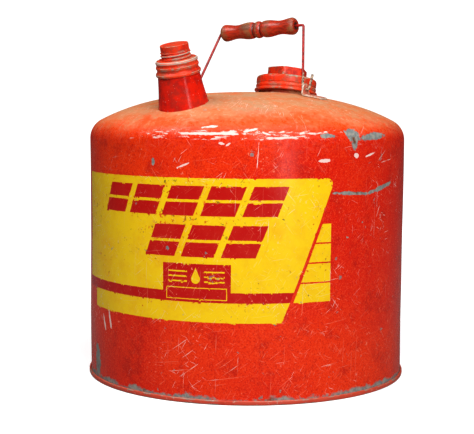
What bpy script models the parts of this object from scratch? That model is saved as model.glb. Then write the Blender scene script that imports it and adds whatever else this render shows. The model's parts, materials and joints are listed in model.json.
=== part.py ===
"""A five-gallon steel gas can with two screw-capped necks, a stored pour spout and a wire bail.

Metres, +Z up. The origin is the centre of the base, on the floor. The pour spout stands towards -Y, the
filler towards +Y, and the bail swings about an axis along X.
"""

import math

import bmesh
import bpy
from mathutils import Matrix, Vector

MM = 0.001
FIT_GAP = 0.3 * MM  # clearance between pieces that rest on each other

# --- Body: driving dimensions -------------------------------------------------------------------------
BODY_RADIUS = 156 * MM
SHEET = 1.0 * MM
WALL_TOP_Z = 232.9 * MM  # where the straight wall ends and the shoulder bend starts
SHOULDER_RADIUS = 20.8 * MM
SHOULDER_ANGLE = math.radians(62)
DOME_TOP_Z = 279.2 * MM
SEAM_HEIGHT = 4.2 * MM
SEAM_PROUD = 2.0 * MM  # how far the rolled seam stands out from the wall
BASE_RECESS = 10 * MM  # height of the base panel's upper face
BODY_SEGMENTS = 48
DOME_RINGS = 8

# --- Spout neck, its collar, the fitting of the stored spout and its cap ------------------------------
SPOUT_OFFSET = 108 * MM  # from the body's axis to the neck's axis, measured on the dome
SPOUT_LEAN = math.radians(15.5)
NECK_FOOT_RADIUS = 23.4 * MM
NECK_TOP_RADIUS = 19.3 * MM
NECK_CONE_TOP = 29.6 * MM
NECK_MOUTH = 39.2 * MM
NECK_BORE = 15.6 * MM
# A thread is a helical wave on a turned wall: radii at its root, and heights along the neck's axis.
NECK_THREAD = {"pitch": 3.2 * MM, "root": 17.2 * MM, "depth": 0.9 * MM, "low": 30.8 * MM, "high": 38.8 * MM}
COLLAR_RADIUS = 20.9 * MM
COLLAR_BASE = 28.8 * MM
COLLAR_HOLE = 12.4 * MM
FITTING_FLANGE_RADIUS = 17.0 * MM
FITTING_TOP = 54.0 * MM
FITTING_BORE = 9.4 * MM
FITTING_THREAD = {"pitch": 3 * MM, "root": 11 * MM, "depth": 0.7 * MM, "low": 44.4 * MM, "high": 53.6 * MM}
SPOUT_CAP_RADIUS = 13.2 * MM
SPOUT_CAP_BEAD = 14.1 * MM
TUBE_RADIUS = 10.0 * MM  # over its ridges
TUBE_RIDGE = 0.9 * MM
TUBE_WALL = 0.5 * MM
TUBE_RIDGES = 20
TUBE_LENGTH = 185 * MM
NOZZLE_LENGTH = 34 * MM
SPOUT_SEGMENTS = 28
INNER_SEGMENTS = 16

# --- Filler neck and its hexagon-crowned cap ----------------------------------------------------------
FILLER_OFFSET = 73.0 * MM
FILLER_MOUTH = 17.0 * MM
FILLER_BORE = 23.6 * MM
FILLER_FLANGE_RADIUS = 32.5 * MM
FILLER_THREAD = {"pitch": 4.0 * MM, "root": 26.2 * MM, "depth": 1.0 * MM, "low": 6.4 * MM, "high": 16.4 * MM}
CAP_RADIUS = 31.6 * MM
CAP_RIM_RADIUS = 32.9 * MM
CAP_BASE = 4.9 * MM
CAP_SHOULDER = 21.0 * MM
CAP_TOP = 30.4 * MM
HEX_ACROSS_FLATS = 38.2 * MM
HEX_TURN = math.radians(-10)
FILLER_SEGMENTS = 36

# --- Bail, its ears and its wooden grip ---------------------------------------------------------------
PIVOT_OFFSET = 67 * MM  # from the body's axis to the middle of each ear's tab
PIVOT_Z = 281.3 * MM
WIRE_RADIUS = 1.3 * MM
BAIL_LEAN = math.radians(25)  # the bail rests leaning towards the filler
BAIL_LEFT_CORNER = (-50.5 * MM, 64.6 * MM)  # across and along the plane of the bail, from the pivot
BAIL_RIGHT_CORNER = (46.5 * MM, 71.2 * MM)
BAIL_BEND = 2.6 * MM
HOOK_LENGTH = 16 * MM
GRIP_LENGTH = 85 * MM
GRIP_RADIUS = 7.8 * MM  # midway between its waists and its bulges
GRIP_SWELL = 0.85 * MM
GRIP_RING = 0.09  # half the middle ring's width, as a share of half the length
GRIP_BORE = 2.0 * MM
GRIP_LEFT_END = -47.2 * MM
EAR_WIDTH = 16 * MM
EAR_SHEET = 1.6 * MM
EAR_FOOT = 21 * MM
EAR_HOLE = 1.9 * MM

THREAD_GAP = 0.4 * MM  # radial play between a neck's thread and the thread that turns on it
ROWS_PER_PITCH = 4
COLOURS = {  # linear colour, metallic, roughness
    "red_paint": ((0.62, 0.035, 0.012), 0.0, 0.42),
    "dusty_red_paint": ((0.45, 0.10, 0.05), 0.0, 0.6),
    "bare_steel": ((0.35, 0.35, 0.33), 1.0, 0.5),
    "zinc": ((0.55, 0.56, 0.56), 1.0, 0.45),
    "rubber": ((0.02, 0.02, 0.02), 0.0, 0.8),
    "brass": ((0.70, 0.48, 0.16), 1.0, 0.4),
    "red_wood": ((0.36, 0.06, 0.02), 0.0, 0.55),
}


def clear_scene():
    for obj in list(bpy.data.objects):
        bpy.data.objects.remove(obj, do_unlink=True)


def material(name):
    """The Principled material of that name, made once."""
    found = bpy.data.materials.get(name)
    if found:
        return found
    colour, metallic, roughness = COLOURS[name]
    made = bpy.data.materials.new(name)
    made.use_nodes = True
    shader = made.node_tree.nodes["Principled BSDF"]
    shader.inputs["Base Color"].default_value = (*colour, 1)
    shader.inputs["Metallic"].default_value = metallic
    shader.inputs["Roughness"].default_value = roughness
    return made


def add_object(name, bm, paint, parent=None, sharp_degrees=35):
    """Turns a bmesh into a named, smooth-shaded object."""
    bmesh.ops.recalc_face_normals(bm, faces=bm.faces)
    mesh = bpy.data.meshes.new(name)
    bm.to_mesh(mesh)
    bm.free()
    mesh.shade_smooth()
    mesh.set_sharp_from_angle(angle=math.radians(sharp_degrees))
    mesh.materials.append(material(paint))
    obj = bpy.data.objects.new(name, mesh)
    bpy.context.scene.collection.objects.link(obj)
    obj.parent = parent
    return obj


def add_empty(name, matrix, parent=None):
    """An empty that holds a sub-assembly, with its Z axis along that assembly's own axis."""
    empty = bpy.data.objects.new(name, None)
    bpy.context.scene.collection.objects.link(empty)
    empty.parent = parent
    empty.matrix_local = matrix
    return empty


def spin_profile(loop, segments, reshape=None):
    """Turns a closed loop of (radius, height) points about Z.

    reshape(radius, angle, height) gives each point its final radius.
    """
    bm = bmesh.new()
    ring = [bm.verts.new((radius, 0, height)) for radius, height in loop]
    edges = [bm.edges.new((a, b)) for a, b in zip(ring, ring[1:] + ring[:1]) if a.co.x > 0 or b.co.x > 0]
    bmesh.ops.spin(
        bm, geom=ring + edges, cent=(0, 0, 0), axis=(0, 0, 1), angle=math.tau, steps=segments, use_merge=True
    )
    bmesh.ops.remove_doubles(bm, verts=bm.verts, dist=1e-6)
    if reshape:
        for vert in bm.verts:
            radius, angle = math.hypot(vert.co.x, vert.co.y), math.atan2(vert.co.y, vert.co.x)
            if radius > 0:
                vert.co.xy *= reshape(radius, angle, vert.co.z) / radius
    return bm


def add_cutter(name, bm, parent):
    """A helper that only cuts: it is hidden from the render and from the build."""
    cutter = add_object(name, bm, "bare_steel", parent)
    cutter.hide_render = True
    cutter.display_type = "WIRE"
    return cutter


def cut(obj, cutter):
    modifier = obj.modifiers.new("cut by " + cutter.name, "BOOLEAN")
    modifier.operation = "DIFFERENCE"
    modifier.solver = "EXACT"
    modifier.object = cutter


# --- Shared profile helpers ---------------------------------------------------------------------------


def arc(centre, radius, start, end, steps):
    """Points on an arc in the (radius, height) plane, angles in degrees."""
    angles = [math.radians(start + (end - start) * i / steps) for i in range(steps + 1)]
    return [(centre[0] + radius * math.cos(a), centre[1] + radius * math.sin(a)) for a in angles]


def dome_height(radius):
    """Height of the dome's outer face: a quartic that leaves the shoulder bend without a crease."""
    edge_radius = BODY_RADIUS - SHOULDER_RADIUS * (1 - math.cos(SHOULDER_ANGLE))
    edge_z = WALL_TOP_Z + SHOULDER_RADIUS * math.sin(SHOULDER_ANGLE)
    edge_slope = -1 / math.tan(SHOULDER_ANGLE)
    drop = edge_z - DOME_TOP_Z
    quartic = (edge_slope * edge_radius - 2 * drop) / (2 * edge_radius**4)
    square = drop / edge_radius**2 - quartic * edge_radius**2
    return DOME_TOP_Z + square * radius**2 + quartic * radius**4


def dome_slope(radius):
    step = 0.1 * MM
    return (dome_height(radius + step) - dome_height(radius - step)) / (2 * step)


def offset_inward(points, distance):
    """The open (radius, height) line moved to its left, which is inwards going up and over the body."""
    moved = []
    for i, (radius, height) in enumerate(points):
        before, after = points[max(i - 1, 0)], points[min(i + 1, len(points) - 1)]
        along = Vector((after[0] - before[0], after[1] - before[1])).normalized()
        moved.append((max(radius - along.y * distance, 0.0), height + along.x * distance))
    return moved


def thread_rows(thread):
    """Heights at which a threaded wall needs a ring of points."""
    count = round((thread["high"] - thread["low"]) / thread["pitch"] * ROWS_PER_PITCH)
    return [thread["low"] + (thread["high"] - thread["low"]) * i / count for i in range(count + 1)]


def thread_wave(thread, angle, height):
    """0 at the root and 1 at the crest of a right-hand rolled thread, dying out at both ends."""
    fade = 0.3 * thread["pitch"]
    ends = min(height - thread["low"], thread["high"] - height) / fade
    turn = math.tau * height / thread["pitch"] - angle
    return max(0.0, min(1.0, ends)) * (0.5 + 0.5 * math.cos(turn))


def male_thread(thread):
    def reshape(radius, angle, height):
        on_thread = abs(radius - thread["root"]) < 1e-5 and thread["low"] <= height <= thread["high"]
        return radius + thread["depth"] * thread_wave(thread, angle, height) if on_thread else radius

    return reshape


def female_radius(thread):
    """Radius at the bottom of the groove of the thread that turns on this one."""
    return thread["root"] + thread["depth"] + THREAD_GAP


def female_thread(thread):
    """The same wave, a gap further out, on a wall whose plain radius is the groove's bottom."""
    plain = female_radius(thread)

    def reshape(radius, angle, height):
        on_thread = abs(radius - plain) < 1e-5 and thread["low"] <= height <= thread["high"]
        ridge = 1 - thread_wave(thread, angle, height)
        ends = min(height - thread["low"], thread["high"] - height) / (0.3 * thread["pitch"])
        return radius - thread["depth"] * ridge * max(0.0, min(1.0, ends)) if on_thread else radius

    return reshape


# --- Body ---------------------------------------------------------------------------------------------


def body_outline():
    """Outer face of the drawn shell, from its lower edge up the wall and over the dome to the axis."""
    wall = [(BODY_RADIUS, SHEET + FIT_GAP), (BODY_RADIUS, 0.5 * WALL_TOP_Z)]
    bend_centre = (BODY_RADIUS - SHOULDER_RADIUS, WALL_TOP_Z)
    bend = arc(bend_centre, SHOULDER_RADIUS, 0, math.degrees(SHOULDER_ANGLE), 5)
    edge = bend[-1][0]
    rings = [edge * (1 - i / DOME_RINGS) for i in range(1, DOME_RINGS + 1)]
    dome = [(radius, dome_height(radius)) for radius in rings]
    return wall + bend + dome


def make_body_shell(spout, filler):
    outer = body_outline()
    inner = offset_inward(outer, SHEET)
    inner[0] = (BODY_RADIUS - SHEET, outer[0][1])
    inner[-1] = (0.0, DOME_TOP_Z - SHEET)
    shell = add_object("body_shell", spin_profile(outer + inner[::-1], BODY_SEGMENTS), "red_paint")
    reach = 12 * MM
    spout_hole = [
        (0, -reach),
        (neck_radius(-reach) + FIT_GAP, -reach),
        (neck_radius(reach) + FIT_GAP, reach),
        (0, reach),
    ]
    cut(shell, add_cutter("spout_hole_cutter", spin_profile(spout_hole, SPOUT_SEGMENTS), spout))
    filler_radius = FILLER_THREAD["root"] + FIT_GAP
    filler_hole = [(0, -reach), (filler_radius, -reach), (filler_radius, reach), (0, reach)]
    cut(shell, add_cutter("filler_hole_cutter", spin_profile(filler_hole, FILLER_SEGMENTS), filler))
    return shell


def make_base_pan():
    """The recessed base panel, whose rim hooks round the shell's lower edge as a rolled seam."""
    inside = BODY_RADIUS - SHEET - FIT_GAP
    web = inside - SHEET
    seam = BODY_RADIUS + SEAM_PROUD
    lip = BODY_RADIUS + FIT_GAP
    stiffening = [(0.0, BASE_RECESS), (0.55 * web, BASE_RECESS), (0.58 * web, BASE_RECESS + 1.5 * MM)]
    upper = stiffening + [(0.86 * web, BASE_RECESS + 1.5 * MM), (0.89 * web, BASE_RECESS)]
    lower = [(radius, height - SHEET) for radius, height in reversed(upper)]
    rim = [
        (inside - 1.6 * MM, BASE_RECESS),
        (inside, BASE_RECESS - 1.6 * MM),
        (inside, SHEET),
        (lip, SHEET),
        (lip, SEAM_HEIGHT),
        (seam - 0.6 * MM, SEAM_HEIGHT),
        (seam, SEAM_HEIGHT - 0.6 * MM),
        (seam, 0.7 * MM),
        (seam - 0.7 * MM, 0.0),
        (web, 0.0),
        (web, BASE_RECESS - 2.4 * MM),
        (web - 0.6 * MM, BASE_RECESS - SHEET),
    ]
    return add_object("base_pan", spin_profile(upper + rim + lower, BODY_SEGMENTS), "bare_steel")


# --- Spout --------------------------------------------------------------------------------------------


def neck_radius(height):
    """Outer radius of the neck's cone at a height along the neck's axis."""
    return NECK_FOOT_RADIUS + (NECK_TOP_RADIUS - NECK_FOOT_RADIUS) * height / NECK_CONE_TOP


def make_spout_neck(parent):
    wall = 1.2 * MM
    below = -8 * MM
    outer = [(neck_radius(below), below), (neck_radius(0), 0), (NECK_TOP_RADIUS, NECK_CONE_TOP)]
    outer += [(NECK_THREAD["root"], height) for height in thread_rows(NECK_THREAD)]
    outer += [(NECK_THREAD["root"], NECK_MOUTH)]
    bore = [(NECK_BORE, NECK_MOUTH), (NECK_BORE, NECK_THREAD["low"] - 1 * MM)]
    cone_end = NECK_CONE_TOP - 3 * MM
    bore += [(neck_radius(cone_end) - wall, cone_end), (neck_radius(below) - wall, below)]
    bm = spin_profile(outer + bore, SPOUT_SEGMENTS, male_thread(NECK_THREAD))
    return add_object("spout_neck", bm, "red_paint", parent)


def make_spout_gasket(parent):
    low, high = NECK_MOUTH + FIT_GAP, NECK_MOUTH + 1.5 * MM
    loop = [(12.9 * MM, low), (16.9 * MM, low), (16.9 * MM, high), (12.9 * MM, high)]
    return add_object("spout_gasket", spin_profile(loop, SPOUT_SEGMENTS), "rubber", parent)


def flange_base():
    return NECK_MOUTH + 1.8 * MM


def make_spout_fitting(parent):
    """The stored spout's end fitting: a flange under the collar, a threaded stub and a sleeve."""
    low = flange_base()
    high = low + 1.0 * MM
    sleeve, sleeve_bore, sleeve_end = 8.0 * MM, 7.2 * MM, low - 16 * MM
    outer = [(sleeve, sleeve_end), (sleeve, low - 3 * MM), (12.0 * MM, low)]
    outer += [(FITTING_FLANGE_RADIUS, low), (FITTING_FLANGE_RADIUS, high), (FITTING_THREAD["root"], high)]
    outer += [(FITTING_THREAD["root"], height) for height in thread_rows(FITTING_THREAD)]
    outer += [(FITTING_THREAD["root"], FITTING_TOP)]
    bore = [(FITTING_BORE, FITTING_TOP), (FITTING_BORE, low + 1.2 * MM)]
    bore += [(sleeve_bore, low), (sleeve_bore, sleeve_end)]
    bm = spin_profile(outer + bore, SPOUT_SEGMENTS, male_thread(FITTING_THREAD))
    return add_object("spout_fitting", bm, "zinc", parent)


def make_spout_strainer(parent):
    """A gauze thimble that sits in the fitting's bore on its step."""
    outside, sheet = FITTING_BORE - FIT_GAP, 0.5 * MM
    low, high = flange_base() + 1.6 * MM, FITTING_TOP - 1.0 * MM
    crown = arc((outside - 3 * MM, high - 3 * MM), 3 * MM, 0, 90, 4)
    inner = [(radius - sheet, height - sheet) for radius, height in crown]
    loop = [(outside, low)] + crown + [(0.0, high), (0.0, high - sheet)]
    loop += inner[::-1] + [(outside - sheet, low)]
    return add_object("spout_strainer", spin_profile(loop, INNER_SEGMENTS), "brass", parent)


def tube_top():
    """Where the tube ends below the fitting's flange."""
    return flange_base() - 3.4 * MM


def make_spout_tube(parent):
    """Flexible metal tube of the pour spout, stored hanging inside the body: a thin ridged wall."""
    top = tube_top()
    pitch = TUBE_LENGTH / TUBE_RIDGES
    outer = []
    for i in range(TUBE_RIDGES):
        low = top - TUBE_LENGTH + i * pitch
        outer += [(TUBE_RADIUS - TUBE_RIDGE, low), (TUBE_RADIUS, low + 0.5 * pitch)]
    outer += [(TUBE_RADIUS - TUBE_RIDGE, top)]
    inner = [(radius - TUBE_WALL, height) for radius, height in outer]
    return add_object("spout_tube", spin_profile(outer + inner[::-1], INNER_SEGMENTS), "zinc", parent)


def tube_bore():
    """Radius inside the tube's ridged wall at its narrowest."""
    return TUBE_RADIUS - TUBE_RIDGE - TUBE_WALL


def make_ferrule(name, parent, top, length):
    """A plain crimp ring round one end of the tube."""
    inside, outside = TUBE_RADIUS + FIT_GAP, TUBE_RADIUS + 1.3 * MM
    loop = [(inside, top), (inside, top - length), (outside, top - length), (outside, top)]
    return add_object(name, spin_profile(loop, INNER_SEGMENTS), "brass", parent)


def make_spout_ferrules(parent):
    top = tube_top()
    length = 11 * MM
    make_ferrule("spout_upper_ferrule", parent, top, length)
    make_ferrule("spout_lower_ferrule", parent, top - TUBE_LENGTH + length, length)


def make_spout_nozzle(parent):
    """Plain pouring end: a sleeve inside the tube, a stop ring and a tapered tip."""
    seat = tube_top() - TUBE_LENGTH
    sleeve, bore = tube_bore() - FIT_GAP, 7.3 * MM
    ring = seat - FIT_GAP
    loop = [
        (sleeve, seat + 12 * MM),
        (bore, seat + 12 * MM),
        (bore - 0.8 * MM, ring - NOZZLE_LENGTH),
        (bore + 0.4 * MM, ring - NOZZLE_LENGTH),
        (sleeve, ring - 3 * MM),
        (TUBE_RADIUS, ring - 2 * MM),
        (TUBE_RADIUS, ring),
        (sleeve, ring),
    ]
    return add_object("spout_nozzle", spin_profile(loop, INNER_SEGMENTS), "zinc", parent)


def make_spout_collar(parent):
    """The screw ring that clamps the fitting's flange down on the neck."""
    inside = female_radius(NECK_THREAD)
    lip_low = flange_base() + 1.0 * MM + FIT_GAP
    lip_high = lip_low + 1.0 * MM
    skirt = NECK_TOP_RADIUS + 0.6 * MM
    rows = dict(NECK_THREAD, low=NECK_THREAD["low"] + 0.6 * MM, high=NECK_THREAD["high"] - 1.0 * MM)
    inner = [(skirt, COLLAR_BASE), (skirt, NECK_CONE_TOP + 0.6 * MM), (inside, NECK_CONE_TOP + 1.2 * MM)]
    inner += [(inside, height) for height in thread_rows(rows)]
    inner += [(inside, lip_low), (COLLAR_HOLE, lip_low)]
    outer = [(COLLAR_HOLE, lip_high), (16.4 * MM, lip_high), (18.7 * MM, lip_high - 1.2 * MM)]
    outer += [(COLLAR_RADIUS - 1.5 * MM, lip_high - 3 * MM)]
    outer += [(COLLAR_RADIUS - 1.2 * MM, COLLAR_BASE + 4 * MM)]
    outer += [(COLLAR_RADIUS, COLLAR_BASE + 2.4 * MM), (COLLAR_RADIUS, COLLAR_BASE)]
    bm = spin_profile(inner + outer, SPOUT_SEGMENTS, female_thread(rows))
    return add_object("spout_collar", bm, "red_paint", parent)


def spout_cap_base():
    return flange_base() + 1.0 * MM + FIT_GAP + 1.0 * MM + FIT_GAP


def make_spout_cap_gasket(parent):
    low = FITTING_TOP + FIT_GAP
    loop = [(0.0, low), (11.7 * MM, low), (11.7 * MM, low + 0.9 * MM), (0.0, low + 0.9 * MM)]
    return add_object("spout_cap_gasket", spin_profile(loop, INNER_SEGMENTS), "rubber", parent)


def make_spout_cap(parent):
    inside = female_radius(FITTING_THREAD)
    ceiling = FITTING_TOP + FIT_GAP + 0.9 * MM + FIT_GAP
    top = ceiling + 0.9 * MM
    rows = dict(FITTING_THREAD, low=FITTING_THREAD["low"] + 0.6 * MM, high=FITTING_THREAD["high"] - 1.2 * MM)
    inner = [(inside, spout_cap_base())] + [(inside, height) for height in thread_rows(rows)]
    inner += [(inside, ceiling), (0.0, ceiling)]
    bead_top = top - 6.0 * MM
    outer = [(0.0, top), (SPOUT_CAP_RADIUS - 0.7 * MM, top), (SPOUT_CAP_RADIUS, top - 0.7 * MM)]
    outer += [(SPOUT_CAP_RADIUS, bead_top), (SPOUT_CAP_BEAD, bead_top - 1.2 * MM)]
    outer += [(SPOUT_CAP_BEAD, spout_cap_base())]
    bm = spin_profile(inner + outer, SPOUT_SEGMENTS, female_thread(rows))
    return add_object("spout_cap", bm, "red_paint", parent)


# --- Filler -------------------------------------------------------------------------------------------


def make_filler_neck(parent):
    """Threaded mouth with a flange on the dome and its lower edge curled out under the dome."""
    root = FILLER_THREAD["root"]
    curl = root + 3.0 * MM
    outer = [(root - 0.4 * MM, -6.4 * MM), (curl, -6.4 * MM), (curl, -5.2 * MM), (root, -5.2 * MM)]
    outer += [(root, -0.6 * MM), (FILLER_FLANGE_RADIUS, -0.6 * MM), (FILLER_FLANGE_RADIUS, 0.9 * MM)]
    outer += [(root, 1.6 * MM)]
    outer += [(root, height) for height in thread_rows(FILLER_THREAD)]
    loop = outer + [(root, FILLER_MOUTH), (FILLER_BORE, FILLER_MOUTH), (FILLER_BORE, -6.4 * MM)]
    bm = spin_profile(loop, FILLER_SEGMENTS, male_thread(FILLER_THREAD))
    return add_object("filler_neck", bm, "red_paint", parent)


def make_filler_gasket(parent):
    low = FILLER_MOUTH + FIT_GAP
    loop = [(22.4 * MM, low), (27.2 * MM, low), (27.2 * MM, low + 1.6 * MM), (22.4 * MM, low + 1.6 * MM)]
    return add_object("filler_gasket", spin_profile(loop, FILLER_SEGMENTS), "rubber", parent)


def hexagon(radius, angle):
    """Radius of the hexagon crown where the round profile has this radius between its flats."""
    flat = math.radians(60)
    return radius / math.cos((angle - HEX_TURN) % flat - flat / 2)


def make_filler_cap(parent):
    """One stamping: a hexagon crown for a wrench, a round shoulder and a threaded skirt."""
    inside = female_radius(FILLER_THREAD)
    ceiling = FILLER_MOUTH + FIT_GAP + 1.6 * MM + FIT_GAP
    crown_flat = HEX_ACROSS_FLATS / 2
    cavity = crown_flat - 1.2 * MM
    rows = dict(FILLER_THREAD, low=FILLER_THREAD["low"] + 0.6 * MM, high=FILLER_THREAD["high"] - 1.6 * MM)
    inner = [(inside, CAP_BASE)] + [(inside, height) for height in thread_rows(rows)]
    inner += [(inside, ceiling), (cavity, ceiling), (cavity, CAP_TOP - 1.2 * MM), (0.0, CAP_TOP - 1.2 * MM)]
    crown = [(0.0, CAP_TOP), (crown_flat - 0.8 * MM, CAP_TOP), (crown_flat, CAP_TOP - 0.8 * MM)]
    crown += [(crown_flat, CAP_SHOULDER)]
    shoulder = arc((CAP_RADIUS - 5 * MM, CAP_SHOULDER - 5.4 * MM), 5 * MM, 90, 0, 4)
    skirt = [(CAP_RADIUS - 0.9 * MM, 12.0 * MM), (CAP_RADIUS, 10.2 * MM), (CAP_RADIUS, 8.2 * MM)]
    skirt += [(CAP_RIM_RADIUS, 6.8 * MM), (CAP_RIM_RADIUS, CAP_BASE)]
    on_thread = female_thread(rows)

    def reshape(radius, angle, height):
        if height >= CAP_SHOULDER - 1e-6 and crown_flat - 1 * MM < radius < crown_flat + 1e-5:
            return hexagon(radius, angle)
        return on_thread(radius, angle, height)

    bm = spin_profile(inner + crown + shoulder + skirt, FILLER_SEGMENTS, reshape)
    return add_object("filler_cap", bm, "red_paint", parent)


# --- Bail ---------------------------------------------------------------------------------------------


def make_ear(name, side):
    """A bent strip: a foot that lies on the dome, and a tab that stands up with the bail's eye in it."""
    hole_up = PIVOT_Z - dome_height(PIVOT_OFFSET)
    seat = FIT_GAP + 0.15 * MM
    slope = dome_slope(PIVOT_OFFSET + 0.5 * EAR_FOOT)
    half, sheet = EAR_WIDTH / 2, EAR_SHEET
    base = dome_height(PIVOT_OFFSET) + seat
    tab_in, tab_out = PIVOT_OFFSET - sheet / 2, PIVOT_OFFSET + sheet / 2
    tab_top = base + hole_up + 8 * MM
    foot_end = tab_out + EAR_FOOT
    foot_drop = slope * EAR_FOOT
    section = [
        (tab_in, base),
        (tab_out, base - 0.3 * MM),
        (foot_end, base - 0.3 * MM + foot_drop),
        (foot_end, base - 0.3 * MM + foot_drop + sheet),
        (tab_out + 1.5 * MM, base + sheet - 0.2 * MM),
        (tab_out, base + sheet + 1.4 * MM),
        (tab_out, tab_top),
        (tab_in, tab_top),
    ]
    bm = bmesh.new()
    face = bm.faces.new([bm.verts.new((side * x, -half, z)) for x, z in section])
    swept = bmesh.ops.extrude_face_region(bm, geom=[face])
    moved = [item for item in swept["geom"] if isinstance(item, bmesh.types.BMVert)]
    bmesh.ops.translate(bm, verts=moved, vec=(0, EAR_WIDTH, 0))
    corners = [
        edge
        for edge in bm.edges
        if all(abs(vert.co.z - tab_top) < 1e-6 for vert in edge.verts)
        and abs(edge.verts[0].co.y - edge.verts[1].co.y) < 1e-6
    ]
    bmesh.ops.bevel(bm, geom=corners, offset=5.5 * MM, segments=4, profile=0.5, affect="EDGES")
    ear = add_object(name, bm, "dusty_red_paint")
    hole = bmesh.new()
    across = Matrix.Translation((side * PIVOT_OFFSET, 0, PIVOT_Z)) @ Matrix.Rotation(math.pi / 2, 4, "Y")
    bmesh.ops.create_cone(
        hole, cap_ends=True, segments=16, radius1=EAR_HOLE, radius2=EAR_HOLE, depth=6 * MM, matrix=across
    )
    cut(ear, add_cutter(name + "_hole_cutter", hole, None))
    return ear


def rounded(points, radius, steps=4):
    """The open polyline with each inner corner replaced by a short arc-like run."""
    made = [points[0]]
    for before, corner, after in zip(points, points[1:], points[2:]):
        to_before, to_after = (before - corner).normalized(), (after - corner).normalized()
        half = to_before.angle(to_after) / 2
        reach = radius / math.tan(half)
        start, end = corner + to_before * reach, corner + to_after * reach
        for i in range(steps + 1):
            t = i / steps
            made.append(start * (1 - t) ** 2 + corner * 2 * t * (1 - t) + end * t**2)
    return made + [points[-1]]


def bail_plane_point(across, along):
    return Vector((across, 0, along))


def make_bail_wire(parent):
    """One wire: hook, eye, leg, top bar, leg, eye, hook, drawn in the plane of the bail."""
    left, right = BAIL_LEFT_CORNER, BAIL_RIGHT_CORNER
    inner, outer = PIVOT_OFFSET - 3.0 * MM, PIVOT_OFFSET + 3.9 * MM
    left_end = [(-outer, HOOK_LENGTH), (-outer, 0), (-inner, 0)]
    right_end = [(inner, 0), (outer, 0), (outer, HOOK_LENGTH)]
    route = left_end + [left, right] + right_end
    points = rounded([bail_plane_point(*point) for point in route], BAIL_BEND)
    curve = bpy.data.curves.new("bail_wire", "CURVE")
    curve.dimensions = "3D"
    curve.bevel_depth = WIRE_RADIUS
    curve.bevel_resolution = 3
    curve.use_fill_caps = True
    curve.materials.append(material("red_paint"))
    spline = curve.splines.new("POLY")
    spline.points.add(len(points) - 1)
    for target, point in zip(spline.points, points):
        target.co = (*point, 1)
    wire = bpy.data.objects.new("bail_wire", curve)
    bpy.context.scene.collection.objects.link(wire)
    wire.parent = parent
    return wire


def grip_axis():
    """Where the grip's middle is in the plane of the bail, and how far the top bar tilts."""
    left, right = BAIL_LEFT_CORNER, BAIL_RIGHT_CORNER
    tilt = math.atan2(right[1] - left[1], right[0] - left[0])
    across = GRIP_LEFT_END + 0.5 * GRIP_LENGTH * math.cos(tilt)
    along = left[1] + (across - left[0]) * math.tan(tilt)
    return across, along, tilt


def grip_radius(share):
    """Turned outline: flared ends, a waist each side and a ring between two grooves in the middle."""
    from_middle = abs(share - 0.5) * 2
    if from_middle < GRIP_RING:
        return GRIP_RADIUS + GRIP_SWELL - 1.8 * MM * (from_middle / GRIP_RING) ** 2
    swell = GRIP_RADIUS + GRIP_SWELL * math.cos((from_middle - 0.26) / 0.34 * math.pi)
    into_groove = max(0.0, 1 - (from_middle - GRIP_RING) / GRIP_RING)
    rounding = max(0.0, (from_middle - 0.92) / 0.08)
    return swell - 1.3 * MM * into_groove**2 - 1.8 * MM * rounding**2


def make_bail_grip(parent):
    steps = 26
    half = GRIP_LENGTH / 2
    outer = [(grip_radius(i / steps), -half + GRIP_LENGTH * i / steps) for i in range(steps + 1)]
    loop = outer + [(GRIP_BORE, half), (GRIP_BORE, -half)]
    return add_object("bail_grip", spin_profile(loop, INNER_SEGMENTS), "red_wood", parent)


def make_bail():
    lean = add_empty("bail_pivot", Matrix.Translation((0, 0, PIVOT_Z)) @ Matrix.Rotation(-BAIL_LEAN, 4, "X"))
    make_bail_wire(lean)
    across, along, tilt = grip_axis()
    place = Matrix.Translation(bail_plane_point(across, along))
    turn = Matrix.Rotation(math.pi / 2 - tilt, 4, "Y")
    make_bail_grip(add_empty("grip_axis", place @ turn, lean))


# --- Assembly -----------------------------------------------------------------------------------------


def neck_matrix(offset_y, lean):
    """Frame whose origin is on the dome and whose Z axis is the neck's axis, leaning outwards."""
    outward = math.copysign(1, offset_y)
    base = Matrix.Translation((0, offset_y, dome_height(abs(offset_y))))
    return base @ Matrix.Rotation(-outward * lean, 4, "X")


def main():
    clear_scene()
    spout = add_empty("spout_axis", neck_matrix(-SPOUT_OFFSET, SPOUT_LEAN))
    filler = add_empty("filler_axis", neck_matrix(FILLER_OFFSET, math.atan(-dome_slope(FILLER_OFFSET))))
    bpy.context.view_layer.update()
    make_body_shell(spout, filler)
    make_base_pan()
    for build in (
        make_spout_neck,
        make_spout_gasket,
        make_spout_fitting,
        make_spout_strainer,
        make_spout_tube,
        make_spout_ferrules,
        make_spout_nozzle,
        make_spout_collar,
        make_spout_cap_gasket,
        make_spout_cap,
    ):
        build(spout)
    for build in (make_filler_neck, make_filler_gasket, make_filler_cap):
        build(filler)
    make_ear("bail_ear_left", -1)
    make_ear("bail_ear_right", 1)
    make_bail()


main()
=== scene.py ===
import json
import math

import bmesh
import bpy
from mathutils import Matrix, Vector, noise


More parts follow.
